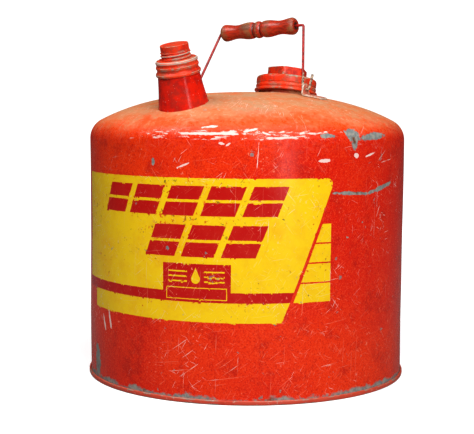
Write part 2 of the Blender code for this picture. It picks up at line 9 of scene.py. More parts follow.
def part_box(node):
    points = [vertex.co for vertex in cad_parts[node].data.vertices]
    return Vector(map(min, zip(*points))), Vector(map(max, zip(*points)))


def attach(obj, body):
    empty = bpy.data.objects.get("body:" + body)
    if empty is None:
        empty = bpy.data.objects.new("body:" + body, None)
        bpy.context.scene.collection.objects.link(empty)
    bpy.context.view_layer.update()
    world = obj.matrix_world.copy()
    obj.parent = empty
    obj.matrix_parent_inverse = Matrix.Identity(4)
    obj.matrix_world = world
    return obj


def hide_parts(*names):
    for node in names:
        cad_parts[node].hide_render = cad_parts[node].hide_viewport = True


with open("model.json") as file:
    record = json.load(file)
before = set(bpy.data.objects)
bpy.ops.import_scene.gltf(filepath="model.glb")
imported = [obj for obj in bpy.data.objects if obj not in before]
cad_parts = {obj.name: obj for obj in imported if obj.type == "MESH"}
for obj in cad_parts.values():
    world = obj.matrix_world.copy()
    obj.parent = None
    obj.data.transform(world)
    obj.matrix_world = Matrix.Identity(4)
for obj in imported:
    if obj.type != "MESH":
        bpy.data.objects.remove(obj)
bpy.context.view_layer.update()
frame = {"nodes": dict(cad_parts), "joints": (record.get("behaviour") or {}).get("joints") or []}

# A vintage round gas can: detailed pieces built round the CAD frame, procedural paint, a pale floor, studio
# light and a camera. Metres, +Z up, in the CAD's frame. Turned pieces are drawn in millimetres as outlines of
# (radius, height) along their own axis.

MM = 0.001
WALL_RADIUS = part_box("body_shell")[1].x
DOME_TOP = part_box("body_shell")[1].z
WALL_TOP = 0.2329
SHOULDER_RADIUS = 0.0208
SHOULDER_ANGLE = math.radians(62)
SHEET = 1.0  # thickness of the body's wall, in millimetres

# --- Camera, floor and light ---
CAMERA_AZIMUTH = 33  # degrees, as around() takes it
CAMERA_DISTANCE = 1.17
CAMERA_HEIGHT = 0.2608
CAMERA_PITCH = math.radians(5.23)
CAMERA_YAW = math.radians(0.47)
CAMERA_ROLL = math.radians(0.34)
CAMERA_LENS = 88.4
AMBIENT = 0.045  # the white room's light on the can; the room itself shows as plain white
LIGHTS = (  # name, place as around() takes it, width and height in metres, and power in watts
    ("key", (52, 1.5, 1.1), (0.6, 0.9), 20),
    ("strip", (60, 1.5, 0.5), (0.28, 0.8), 3.0),
    ("overhead", (60, 0.5, 1.7), (1.2, 0.8), 9),
    ("fill", (-25, 1.0, 1.4), (0.8, 0.8), 12.5),
)
LIGHT_TARGET = Vector((0, 0, 0.16))
FLOOR_HEIGHT = -0.0002
FLOOR_COLOR, FLOOR_COLOR_SEEN = (0.20, 0.20, 0.20), (0.93, 0.93, 0.93)
FLOOR_GLOW = 0.06  # of the floor's glow, the share that lights the can; the camera sees all of it


def around(azimuth_degrees, distance, height):
    """A point round the can: azimuth 0 is on the spout's side, and 90 is towards +X."""
    azimuth = math.radians(azimuth_degrees)
    return Vector((distance * math.sin(azimuth), -distance * math.cos(azimuth), height))


def add_object(name, data):
    made = bpy.data.objects.new(name, data)
    bpy.context.scene.collection.objects.link(made)
    return made


def add_camera():
    data = bpy.data.cameras.new("camera")
    data.lens = CAMERA_LENS
    data.clip_start, data.clip_end = 0.01, 100
    camera = add_object("camera", data)
    place = Matrix.Translation(around(CAMERA_AZIMUTH, CAMERA_DISTANCE, CAMERA_HEIGHT))
    turn = Matrix.Rotation(math.radians(CAMERA_AZIMUTH) + CAMERA_YAW, 4, "Z")
    tilt = Matrix.Rotation(math.pi / 2 - CAMERA_PITCH, 4, "X")
    camera.matrix_world = place @ turn @ tilt @ Matrix.Rotation(CAMERA_ROLL, 4, "Z")
    bpy.context.scene.camera = camera


def add_area_light(name, place, size, power):
    data = bpy.data.lights.new(name, "AREA")
    data.shape = "RECTANGLE"
    data.size, data.size_y = size
    data.energy = power
    light = add_object(name, data)
    light.location = place
    light.rotation_mode = "QUATERNION"
    light.rotation_quaternion = (LIGHT_TARGET - place).to_track_quat("-Z", "Y")


def add_studio():
    world = bpy.data.worlds.new("studio")
    bpy.context.scene.world = world
    world.use_nodes = True
    nodes, links = world.node_tree.nodes, world.node_tree.links
    ray, strength = nodes.new("ShaderNodeLightPath"), nodes.new("ShaderNodeMapRange")
    strength.inputs["To Min"].default_value = AMBIENT
    strength.inputs["To Max"].default_value = 1.0
    links.new(ray.outputs["Is Camera Ray"], strength.inputs["Value"])
    links.new(strength.outputs[0], nodes["Background"].inputs["Strength"])
    nodes["Background"].inputs["Color"].default_value = (1, 1, 1, 1)
    for name, place, size, power in LIGHTS:
        add_area_light(name, around(*place), size, power)
    bpy.context.scene.view_settings.view_transform = "Standard"
    bpy.context.scene.view_settings.look = "Medium High Contrast"
    add_floor()


def add_floor():
    bpy.ops.mesh.primitive_plane_add(size=40, location=(0, 0, FLOOR_HEIGHT))
    floor = bpy.context.object
    floor.name = "floor"
    graph = Graph("floor")
    seen = graph.nodes.new("ShaderNodeLightPath").outputs["Is Camera Ray"]
    graph.finish(graph.mix(seen, FLOOR_COLOR, FLOOR_COLOR_SEEN), roughness=0.8, specular=0.1)
    x, y, _ = graph.split(graph.coords())
    reach = graph.math("SQRT", graph.add(graph.mul(x, x), graph.mul(y, y)))
    glow = graph.lerp(graph.step(reach, 0.2, 1.3), 0.4, 1.0)
    glow = graph.mul(glow, graph.lerp(seen, FLOOR_GLOW, 1.0))
    graph.put(graph.shader.inputs["Emission Strength"], glow)
    graph.shader.inputs["Emission Color"].default_value = (1, 1, 1, 1)
    floor.data.materials.append(graph.material)


# --- Node materials ---


class Graph:
    """A material whose nodes are made by short calls. Inputs are numbers, colours or other nodes' outputs."""

    def __init__(self, name):
        self.material = bpy.data.materials.new(name)
        self.material.use_nodes = True
        self.nodes = self.material.node_tree.nodes
        self.links = self.material.node_tree.links
        self.shader = self.nodes["Principled BSDF"]

    def put(self, socket, value):
        if isinstance(value, bpy.types.NodeSocket):
            self.links.new(value, socket)
        elif isinstance(value, tuple) and len(value) == 3 and socket.type == "RGBA":
            socket.default_value = (*value, 1)
        else:
            socket.default_value = value

    def node(self, kind, output, inputs, **settings):
        """One output of a new node, whose inputs are given by place or name."""
        made = self.nodes.new("ShaderNode" + kind)
        for name, value in settings.items():
            setattr(made, name, value)
        for key, value in inputs.items():
            self.put(made.inputs[key], value)
        return made.outputs[output]

    def math(self, operation, *values):
        return self.node("Math", 0, dict(enumerate(values)), operation=operation)

    def add(self, first, second):
        return self.math("ADD", first, second)

    def sub(self, first, second):
        return self.math("SUBTRACT", first, second)

    def mul(self, first, second):
        return self.math("MULTIPLY", first, second)

    def swing(self, value, amount):
        """A noise, which varies about one half, made to vary about zero."""
        return self.mul(self.sub(value, 0.5), amount)

    def hypot(self, first, second):
        return self.math("SQRT", self.add(self.math("POWER", first, 2.0), self.math("POWER", second, 2.0)))

    def mix(self, factor, first, second):
        """Between two colours."""
        return self.node("Mix", 2, {0: factor, 6: first, 7: second}, data_type="RGBA")

    def lerp(self, factor, first, second):
        """Between two numbers."""
        return self.node("Mix", 0, {0: factor, 2: first, 3: second})

    def step(self, value, low, high):
        """0 below low and 1 above high, smooth between."""
        return self.node("MapRange", 0, {0: value, 1: low, 2: high}, interpolation_type="SMOOTHSTEP")

    def coords(self):
        return self.node("TexCoord", "Object", {})

    def split(self, vector):
        node = self.nodes.new("ShaderNodeSeparateXYZ")
        self.put(node.inputs[0], vector)
        return node.outputs[0], node.outputs[1], node.outputs[2]

    def join(self, x, y, z):
        return self.node("CombineXYZ", 0, {0: x, 1: y, 2: z})

    def noise(self, vector, scale, detail=3.0, rough=0.55, distortion=0.0):
        settings = {"Scale": scale, "Detail": detail, "Roughness": rough, "Distortion": distortion}
        return self.node("TexNoise", "Fac", {"Vector": vector, **settings})

    def attribute(self, name):
        return self.node("Attribute", "Fac", {}, attribute_name=name)

    def total(self, first, *others):
        """The largest of several masks."""
        for other in others:
            first = self.math("MAXIMUM", first, other)
        return first

    def both(self, first, *others):
        """Where all the masks hold: their product."""
        for other in others:
            first = self.mul(first, other)
        return first

    def inverse(self, value):
        return self.sub(1.0, value)

    def between(self, value, low, high, soft=0.25):
        """1 where value is between low and high."""
        above = self.step(value, self.shift(low, -soft), self.shift(low, soft))
        below = self.inverse(self.step(value, self.shift(high, -soft), self.shift(high, soft)))
        return self.both(above, below)

    def shift(self, value, amount):
        if isinstance(value, bpy.types.NodeSocket):
            return self.add(value, amount)
        return value + amount

    def streaks(self, u, v, angle, across, along, threshold, seed):
        """Thin scratches along one direction of the (u, v) plane, in millimetres."""
        c, s = math.cos(math.radians(angle)), math.sin(math.radians(angle))
        run = self.add(self.mul(u, c * along), self.mul(v, s * along))
        side = self.sub(self.mul(v, c * across), self.mul(u, s * across))
        fibre = self.noise(self.join(run, side, seed), 1.0, 1.0, 0.5, 0.05)
        return self.step(fibre, threshold, threshold + 0.03)

    def finish(self, color, roughness, metallic=0.0, height=None, height_mm=0.1, specular=0.5):
        self.put(self.shader.inputs["Base Color"], color)
        self.put(self.shader.inputs["Roughness"], roughness)
        self.put(self.shader.inputs["Metallic"], metallic)
        self.shader.inputs["Specular IOR Level"].default_value = specular
        if height is not None:
            bump = self.nodes.new("ShaderNodeBump")
            bump.inputs["Strength"].default_value = 1.0
            bump.inputs["Distance"].default_value = height_mm * MM
            self.put(bump.inputs["Height"], height)
            self.put(self.shader.inputs["Normal"], bump.outputs[0])
        return self.material


RED = (0.68, 0.018, 0.005)
DEEP_RED = (0.43, 0.012, 0.008)
ORANGE_RED = (0.82, 0.045, 0.005)
PRINT_RED = (0.50, 0.010, 0.008)
YELLOW = (0.88, 0.58, 0.010)
DIRTY_YELLOW = (0.60, 0.36, 0.03)
DUST = (0.52, 0.25, 0.12)
PALE = (0.86, 0.72, 0.66)
BARE = (0.20, 0.215, 0.21)
RUST = (0.16, 0.055, 0.022)
TAN = (0.55, 0.28, 0.16)

# The printed panel, in millimetres: u runs round the wall from below the spout, to the right seen from
# outside, and v is the height.
PANEL = {"left": -114.0, "right": 132.8, "low": 100.4, "high": 201.5, "slant": 0.394, "corner": 9.0}
BAND_LOW = 91.2
STRIP = {"left": -92.0, "low": 73.5}
COLUMN = {"right": 168.6, "high": 161.0, "gap": 3.2, "rules": (143.8, 126.3, 108.6), "rule": 0.7}
EMBLEM = {"left": 12.3, "right": 76.5, "high": 125.5}
BAR_ROWS = (  # left, right, low, high and number of blocks
    (-65.0, 124.0, 168.0, 194.5, 5),
    (-7.0, 104.5, 131.5, 160.0, 3),
)
PRINT_EDGE = 0.3  # softness of a printed edge
FRAME_INSET, FRAME_SPAN, FRAME_HOLE = 3.5, (93.4, 104.4), (94.3, 103.5)  # the thin frame in the emblem
DROP_MIDDLE, DROP_TIP = 112.0, (113.0, 122.5)
RULES_SPAN, RULE_STEP = (107.5, 120.5), 2.2  # short lines on both sides of the drop


def printed_panel(g, u, v):
    """Masks of the yellow and of the red ink of the printed panel."""
    edge = g.add(g.mul(g.sub(v, PANEL["low"]), PANEL["slant"]), PANEL["right"])
    corner = rounded_corner(g, u, v, edge)
    main = g.both(g.between(u, PANEL["left"], edge), g.between(v, PANEL["low"], PANEL["high"]), corner)
    strip_start = g.step(u, STRIP["left"] - PRINT_EDGE, STRIP["left"] + PRINT_EDGE)
    strip_end = g.inverse(g.step(g.sub(u, edge), -PRINT_EDGE, PRINT_EDGE))
    strip = g.both(strip_start, g.between(v, STRIP["low"], BAND_LOW), strip_end)
    column_left = g.add(edge, COLUMN["gap"])
    column = g.both(g.between(u, column_left, COLUMN["right"]), g.between(v, BAND_LOW, COLUMN["high"]))
    for height in COLUMN["rules"]:
        column = g.both(column, g.inverse(g.between(v, height - COLUMN["rule"], height + COLUMN["rule"])))
    emblem = g.both(g.between(u, EMBLEM["left"], EMBLEM["right"]), g.between(v, BAND_LOW, EMBLEM["high"]))
    band = g.both(g.between(u, PANEL["left"], edge), g.between(v, BAND_LOW, PANEL["low"]))
    red = g.total(emblem, band, bars(g, u, v))
    yellow = g.total(g.both(main, g.inverse(red)), strip, column, emblem_lines(g, u, v))
    return yellow, g.both(red, g.inverse(yellow))


def rounded_corner(g, u, v, edge):
    """0 outside the quarter circle at the panel's upper right corner."""
    size = PANEL["corner"]
    over = g.total(g.sub(g.add(u, size), edge), 0.0)
    up = g.total(g.sub(v, PANEL["high"] - size), 0.0)
    return g.inverse(g.step(g.hypot(over, up), size - PRINT_EDGE, size + PRINT_EDGE))


def bars(g, u, v):
    """Rows of plain slanted blocks, each split by a yellow line."""
    found = 0.0
    for left, right, low, high, count in BAR_ROWS:
        lean = g.mul(g.sub(v, low), PANEL["slant"])
        along = g.math("DIVIDE", g.sub(g.sub(u, lean), left), (right - left) / count)
        inside = g.both(g.between(along, 0.0, float(count), 0.01), g.between(v, low, high))
        block = g.inverse(g.step(g.math("FRACT", along), 0.82, 0.835))
        middle = 0.5 * (low + high)
        split = g.inverse(g.between(v, middle - 1.3, middle + 1.3))
        found = g.total(g.both(inside, block, split), found)
    return found


def emblem_lines(g, u, v):
    """A plain drop over a thin frame, in the red square of the panel."""
    middle = 0.5 * (EMBLEM["left"] + EMBLEM["right"])
    side = g.math("ABSOLUTE", g.sub(u, middle))
    half = 0.5 * (EMBLEM["right"] - EMBLEM["left"]) - FRAME_INSET
    outer = g.both(g.inverse(g.step(side, half, half + 0.4)), g.between(v, *FRAME_SPAN))
    inner = g.both(g.inverse(g.step(side, half - 0.9, half - 0.5)), g.between(v, *FRAME_HOLE))
    frame_line = g.both(outer, g.inverse(inner))
    bowl = g.add(g.math("POWER", side, 2.0), g.math("POWER", g.sub(v, DROP_MIDDLE), 2.0))
    round_part = g.inverse(g.step(bowl, 16.0, 20.0))
    tip = g.both(g.between(v, *DROP_TIP), g.inverse(g.step(g.add(side, g.mul(v, 0.42)), 51.2, 51.6)))
    lines = g.between(g.math("PINGPONG", g.sub(v, RULES_SPAN[0]), RULE_STEP), 1.5, 3.0, 0.2)
    rules = g.both(g.between(side, 8.0, half - 2.0), lines, g.between(v, *RULES_SPAN))
    return g.total(frame_line, round_part, tip, rules)


# Bare patches where the paint is gone: azimuth in degrees, height, half width and half height in millimetres,
# and tilt in degrees.
BARE_PATCHES = (
    (71.0, 239.0, 9.0, 6.5, 0),
    (71.5, 232.5, 4.0, 6.0, 0),
    (81.0, 238.0, 20.0, 3.4, 4),
    (60.0, 239.0, 9.0, 2.2, 0),
    (70.5, 187.0, 22.0, 1.7, -3),
    (86.0, 190.5, 22.0, 2.2, 12),
    (-33.0, 20.0, 8.0, 16.0, 0),
    (0.5, 215.0, 1.8, 3.6, 0),
    (149.0, 205.0, 16.0, 3.0, 20),
    (-120.0, 90.0, 9.0, 6.0, 30),
)
# Pale patches, in the same columns: pale worn paint, and along the shoulder, from 21 to 44 degrees and 237 to
# 246.5 mm, partly a painted highlight; the long thin strip at 22 degrees and 240.5 mm is a painted highlight.
PALE_WEAR_AND_HIGHLIGHT_PATCHES = (
    (59.0, 217.0, 7.5, 1.6, 4),
    (72.4, 220.6, 3.0, 2.2, 0),
    (79.0, 221.5, 8.0, 1.0, 15),
    (-22.0, 66.0, 1.6, 11.0, 14),
    (-26.0, 60.0, 1.4, 9.0, 20),
    (22.0, 240.5, 34.0, 1.3, 0),
    (44.0, 237.0, 16.0, 1.1, 2),
    (12.0, 212.5, 6.0, 1.1, 22),
    (25.0, 232.0, 3.2, 1.2, -14),
    (27.0, 231.4, 2.6, 1.0, 35),
    (21.0, 246.5, 9.0, 1.0, 3),
    (34.0, 243.5, 7.0, 1.1, 12),
    (39.0, 241.0, 5.0, 1.0, -18),
    (36.5, 220.0, 0.35, 14.0, -4),
    (200.0, 238.0, 30.0, 1.2, 1),
)


# Where the body's paint is worn, with pale scuffs on the shoulder that are partly a painted highlight, as low
# and high ends and softness along u or v.
BLEACHED_V = (234.0, 252.0)
DUST_V = (234.0, 262.0)
HANDLED_U = (20.0, 215.0, 45.0)  # this side of the dome is rubbed cleaner
# pale scuffs across the shoulder band: worn paint, and partly a painted highlight
SCUFF_AND_HIGHLIGHT_U, SCUFF_AND_HIGHLIGHT_V = (-25.0, 200.0, 40.0), (234.0, 245.0, 4.0)
RUBBED_V = (226.0, 252.0, 4.0)
FLECKED_U, FLECKED_V = (-20.0, 90.0, 30.0), (140.0, 212.0, 20.0)
SCRATCHES = (  # direction in degrees, frequency across and along it, threshold and seed
    (88, 1.0, 0.014, 0.72, 1.0),
    (36, 1.1, 0.030, 0.71, 7.0),
    (-52, 1.1, 0.035, 0.715, 13.0),
    (8, 1.0, 0.020, 0.725, 21.0),
    (62, 1.3, 0.060, 0.70, 34.0),
    (-24, 1.3, 0.070, 0.71, 47.0),
)


def patches(g, u, v, ragged, spots, threshold):
    """Ragged ellipses on the unrolled wall."""
    found = 0.0
    for azimuth, height, half_width, half_height, tilt in spots:
        c, s = math.cos(math.radians(tilt)), math.sin(math.radians(tilt))
        du = g.sub(u, math.radians(azimuth) * WALL_RADIUS / MM)
        dv = g.sub(v, height)
        run = g.math("DIVIDE", g.add(g.mul(du, c), g.mul(dv, s)), half_width)
        side = g.math("DIVIDE", g.sub(g.mul(dv, c), g.mul(du, s)), half_height)
        spot = g.inverse(g.step(g.add(g.hypot(run, side), ragged), threshold, threshold + 0.12))
        found = g.total(spot, found)
    return found


def body_paint():
    g = Graph("painted_body")
    spot = g.coords()
    x, y, z = g.split(spot)
    azimuth = g.math("ARCTAN2", x, g.mul(y, -1.0))
    wobble = g.swing(g.noise(spot, 420.0, 3.0), 0.8)
    u = g.add(g.mul(azimuth, WALL_RADIUS / MM), wobble)
    v = g.add(g.math("DIVIDE", z, MM), wobble)

    cloud = g.noise(spot, 9.0, 4.0, 0.6)
    grain = g.noise(spot, 260.0, 4.0, 0.65)
    mottle = g.noise(spot, 55.0, 5.0, 0.7)
    color = g.mix(g.step(cloud, 0.38, 0.68), RED, ORANGE_RED)
    low_wall = g.inverse(g.step(v, 10.0, 200.0))
    color = g.mix(g.mul(low_wall, 0.35), color, (0.74, 0.036, 0.010))
    color = g.mix(g.mul(g.step(mottle, 0.50, 0.68), 0.55), color, DEEP_RED)
    fine = g.noise(spot, 750.0, 3.0, 0.7)
    color = g.mix(g.mul(g.step(fine, 0.52, 0.66), 0.5), color, (0.84, 0.11, 0.035))
    color = g.mix(g.mul(g.inverse(g.step(fine, 0.36, 0.47)), 0.6), color, DEEP_RED)

    bleached = g.mul(g.step(v, *BLEACHED_V), g.lerp(g.step(cloud, 0.35, 0.6), 0.45, 0.85))
    color = g.mix(bleached, color, (0.82, 0.085, 0.010))

    bite = g.mul(g.step(g.noise(spot, 120.0, 4.0, 0.7), 0.58, 0.62), 1.1)  # chips the print's edges
    yellow, red = printed_panel(g, g.add(u, bite), g.add(v, bite))
    aged_yellow = g.mix(g.step(mottle, 0.45, 0.75), YELLOW, (0.83, 0.50, 0.012))
    aged_yellow = g.mix(g.mul(g.step(grain, 0.58, 0.72), 0.35), aged_yellow, DIRTY_YELLOW)
    blotches = g.mul(g.step(g.noise(spot, 20.0, 5.0, 0.7), 0.48, 0.64), 0.5)
    aged_yellow = g.mix(blotches, aged_yellow, (0.82, 0.42, 0.008))
    color = g.mix(yellow, color, aged_yellow)
    color = g.mix(red, color, g.mix(g.step(mottle, 0.4, 0.7), PRINT_RED, (0.52, 0.020, 0.012)))

    dust_height = g.add(v, g.swing(g.noise(spot, 22.0, 5.0, 0.65), 34.0))
    dust_height = g.sub(dust_height, g.mul(g.between(u, *HANDLED_U), 5.0))
    settled = g.step(dust_height, *DUST_V)
    spotty = g.step(g.add(g.mul(settled, 0.24), grain), 0.50, 0.62)
    dusty = g.both(settled, g.lerp(spotty, 0.35, 0.95))
    dust_color = g.mix(g.step(mottle, 0.38, 0.64), DUST, (0.60, 0.17, 0.055))
    dust_color = g.mix(g.step(g.noise(spot, 13.0, 5.0, 0.7), 0.50, 0.66), dust_color, (0.46, 0.27, 0.15))
    dust_color = g.mix(g.mul(g.step(grain, 0.56, 0.66), 0.5), dust_color, (0.70, 0.44, 0.30))
    rubbed_clean = g.step(g.noise(spot, 17.0, 6.0, 0.72, 0.4), 0.60, 0.66)
    color = g.mix(g.both(dusty, g.lerp(rubbed_clean, 1.0, 0.25)), color, dust_color)

    patchy = g.step(g.noise(spot, 14.0, 3.0), 0.42, 0.62)
    scratches = g.total(*(g.streaks(u, v, *line) for line in SCRATCHES))
    scratches = g.both(scratches, g.lerp(patchy, 0.3, 1.0))
    specks = g.step(g.noise(spot, 330.0, 2.0, 0.5), 0.67, 0.72)
    specks = g.both(specks, g.step(g.noise(spot, 30.0, 2.0), 0.46, 0.6))
    faint = g.mul(g.total(scratches, specks), g.lerp(g.step(cloud, 0.4, 0.6), 0.45, 0.85))
    color = g.mix(faint, color, g.mix(yellow, (0.86, 0.24, 0.15), (0.80, 0.66, 0.30)))
    ragged = g.swing(g.noise(spot, 160.0, 5.0, 0.7), 2.1)
    deep = g.both(g.step(g.noise(spot, 37.0, 2.0), 0.56, 0.62), scratches)
    # Pale scuffs across the shoulder band: worn paint, and partly a painted highlight along the shoulder.
    blotch = g.noise(g.join(g.mul(u, 0.07), g.mul(v, 0.30), 5.0), 1.0, 6.0, 0.75, 0.4)
    scuffs_and_highlight = g.both(g.between(v, *SCUFF_AND_HIGHLIGHT_V), g.between(u, *SCUFF_AND_HIGHLIGHT_U))
    scuffs_and_highlight = g.step(g.add(blotch, g.mul(scuffs_and_highlight, 0.16)), 0.70, 0.73)
    # Pale marks: deep scratches, worn scuffs and patches, and a painted highlight along the shoulder.
    pale = g.total(deep, scuffs_and_highlight, patches(g, u, v, ragged, PALE_WEAR_AND_HIGHLIGHT_PATCHES, 0.85))
    color = g.mix(g.mul(pale, 0.8), color, PALE)

    worn_zone = g.both(g.between(u, *FLECKED_U), g.between(v, *FLECKED_V))
    fleck_field = g.add(g.noise(spot, 240.0, 4.0, 0.7), g.mul(worn_zone, 0.045))
    fleck_place = g.total(g.step(g.noise(spot, 26.0, 2.0), 0.44, 0.58), worn_zone)
    flecks = g.both(yellow, g.step(fleck_field, 0.63, 0.66), fleck_place)
    color = g.mix(g.mul(flecks, 0.8), color, g.mix(g.step(grain, 0.45, 0.55), (0.16, 0.09, 0.02), RED))
    chip_field = g.noise(spot, 120.0, 5.0, 0.62)
    chips = g.both(g.step(chip_field, 0.675, 0.69), g.step(g.noise(spot, 11.0, 2.0), 0.45, 0.6))
    seam_wear = g.step(g.sub(g.mul(mottle, 22.0), v), 3.0, 6.0)
    bare = g.total(chips, seam_wear, patches(g, u, v, ragged, BARE_PATCHES, 0.9))
    metal = g.mix(g.step(grain, 0.42, 0.6), BARE, (0.33, 0.31, 0.27))
    metal = g.mix(g.step(g.noise(spot, 90.0, 4.0), 0.6, 0.72), metal, RUST)
    color = g.mix(bare, color, metal)

    rubbed = g.step(g.noise(spot, 190.0, 4.0, 0.7), 0.48, 0.58)
    rubbed_shoulder = g.both(g.between(v, *RUBBED_V), rubbed)
    roughness = g.lerp(dusty, g.lerp(g.step(grain, 0.3, 0.7), 0.17, 0.28), 0.85)
    roughness = g.lerp(rubbed_shoulder, roughness, 0.62)
    roughness = g.lerp(g.total(bare, pale), roughness, 0.6)
    relief = g.sub(g.mul(grain, 0.12), g.total(bare, g.mul(pale, 0.5)))
    relief = g.sub(relief, g.mul(rubbed_shoulder, 0.35))
    return g.finish(color, roughness, 0.0, relief, 0.12, specular=0.25)


def worn_enamel(name, paint, dust_share, wear_color=BARE, gloss=(0.28, 0.44)):
    """Red enamel on a small stamping: the rolls are rubbed bare, with dust round the rubbed spots and in
    patches.
    """
    g = Graph(name)
    spot = g.coords()
    grain = g.noise(spot, 420.0, 4.0, 0.65)
    mottle = g.noise(spot, 120.0, 4.0, 0.65)
    color = g.mix(g.step(mottle, 0.4, 0.65), paint, DEEP_RED)
    color = g.mix(g.mul(g.step(g.noise(spot, 60.0, 4.0, 0.7), 0.45, 0.7), dust_share), color, DUST)
    wear = g.add(g.attribute("wear"), g.swing(mottle, 2.6))
    rubbed = g.step(wear, 0.72, 1.0)
    halo = g.step(wear, 0.42, 0.8)
    color = g.mix(g.mul(halo, 0.6), color, DUST)
    color = g.mix(rubbed, color, g.mix(g.step(grain, 0.4, 0.62), wear_color, (0.42, 0.38, 0.32)))
    specks = g.step(g.noise(spot, 700.0, 2.0), 0.7, 0.74)
    color = g.mix(g.mul(specks, 0.5), color, PALE)
    roughness = g.lerp(halo, g.lerp(g.step(grain, 0.3, 0.7), *gloss), 0.62)
    relief = g.sub(g.mul(grain, 0.3), g.mul(rubbed, 0.7))
    return g.finish(color, roughness, 0.0, relief, 0.1, specular=0.3)


def turned_wood():
    g = Graph("turned_wood")
    spot = g.coords()
    x, y, z = g.split(spot)
    fibre = g.noise(g.join(g.mul(x, 900.0), g.mul(y, 900.0), g.mul(z, 38.0)), 1.0, 4.0, 0.6)
    rings = g.noise(g.join(g.mul(x, 190.0), g.mul(y, 190.0), g.mul(z, 9.0)), 1.0, 3.0, 0.5, 0.6)
    wood = g.mix(g.step(rings, 0.38, 0.62), (0.30, 0.115, 0.045), (0.17, 0.055, 0.022))
    stain = g.mix(g.step(fibre, 0.35, 0.65), (0.52, 0.040, 0.012), (0.28, 0.022, 0.009))
    wear = g.add(g.attribute("wear"), g.swing(g.noise(spot, 75.0, 4.0, 0.7), 2.4))
    worn = g.step(wear, 0.38, 0.95)
    color = g.mix(worn, stain, wood)
    grime = g.both(g.inverse(g.step(g.attribute("wear"), -0.5, 0.0)), 0.85)
    color = g.mix(grime, color, (0.050, 0.018, 0.010))
    lathe = g.noise(g.join(0.0, 0.0, g.mul(z, 2600.0)), 1.0, 2.0)
    relief = g.add(g.mul(fibre, 0.7), g.mul(lathe, 0.3))
    return g.finish(color, g.lerp(worn, 0.33, 0.55), 0.0, relief, 0.12)


def worn_wire():
    g = Graph("painted_wire")
    spot = g.coords()
    mottle = g.noise(spot, 240.0, 4.0, 0.65)
    side = g.math("ABSOLUTE", g.split(spot)[0])
    leg = g.between(g.math("DIVIDE", side, MM), 60.5, 66.0, 0.4)
    hook = g.step(side, 66.0 * MM, 68.0 * MM)
    bare = g.step(g.add(g.mul(g.total(leg, hook), 0.40), mottle), 0.68, 0.80)
    paint = g.mix(g.step(mottle, 0.4, 0.62), (0.40, 0.016, 0.012), (0.22, 0.012, 0.010))
    steel = g.mix(g.step(g.noise(spot, 600.0, 3.0), 0.4, 0.6), (0.10, 0.055, 0.035), (0.46, 0.33, 0.23))
    return g.finish(g.mix(bare, paint, steel), g.lerp(bare, 0.34, 0.5), 0.0, mottle, 0.08, specular=0.35)


def worn_seam():
    """The rolled bottom seam and base panel: paint only left in the hollows."""
    g = Graph("worn_seam")
    spot = g.coords()
    grain = g.noise(spot, 300.0, 5.0, 0.65)
    mottle = g.noise(spot, 70.0, 5.0, 0.7)
    metal = g.mix(g.step(mottle, 0.4, 0.62), TAN, (0.27, 0.25, 0.20))
    metal = g.mix(g.step(g.noise(spot, 45.0, 4.0), 0.6, 0.72), metal, RUST)
    worn = g.add(g.attribute("wear"), g.swing(mottle, 3.6))
    painted = g.both(g.inverse(g.step(worn, 0.55, 0.9)), 0.9)
    color = g.mix(painted, metal, (0.60, 0.050, 0.022))
    color = g.mix(g.mul(g.step(grain, 0.6, 0.7), 0.6), color, (0.60, 0.52, 0.42))
    return g.finish(color, g.lerp(painted, 0.55, 0.42), 0.0, grain, 0.15)


def plain_finish(name, color, other, roughness, metallic, scale, height_mm):
    """A hidden fitting's finish: two mottled colours and a fine texture."""
    g = Graph(name)
    spot = g.coords()
    grain = g.noise(spot, scale, 5.0, 0.65)
    mixed = g.mix(g.step(g.noise(spot, 0.3 * scale, 3.0), 0.4, 0.62), color, other)
    return g.finish(mixed, g.lerp(grain, roughness - 0.1, roughness + 0.15), metallic, grain, height_mm)


def brass_gauze():
    """Woven wire cloth: two crossed sets of ridges on the strainer."""
    g = Graph("brass_gauze")
    spot = g.coords()
    x, y, z = g.split(spot)
    warp = g.math("SINE", g.mul(g.add(x, y), 9000.0))
    weft = g.math("SINE", g.mul(g.sub(z, g.mul(y, 0.3)), 9000.0))
    mesh = g.mul(warp, weft)
    color = g.mix(g.step(mesh, -0.3, 0.3), (0.16, 0.10, 0.03), (0.66, 0.46, 0.16))
    return g.finish(color, 0.42, 1.0, mesh, 0.1)


# --- Turned pieces ---


def find_joint(name):
    return next(item for item in frame["joints"] if item["name"] == name)


def joint_frame(joint_name, across):
    """A matrix at a joint, with Z along the joint's axis and X as near as it can be to across."""
    joint = find_joint(joint_name)
    along = Vector(joint["axis"]).normalized()
    across = (across - along * across.dot(along)).normalized()
    made = Matrix((across, along.cross(across), along)).transposed().to_4x4()
    made.translation = Vector(joint["pos_m"])
    return made


def curve_point(start, corner, end, t):
    """A point of the smooth run that leaves start towards the corner and arrives at end."""
    return start * (1 - t) ** 2 + corner * 2 * t * (1 - t) + end * t * t


CORNER_WEAR = 0.75  # how hard an outward corner is rubbed
BARE_WEAR = 1.9  # the same for a corner of the kind "bare"


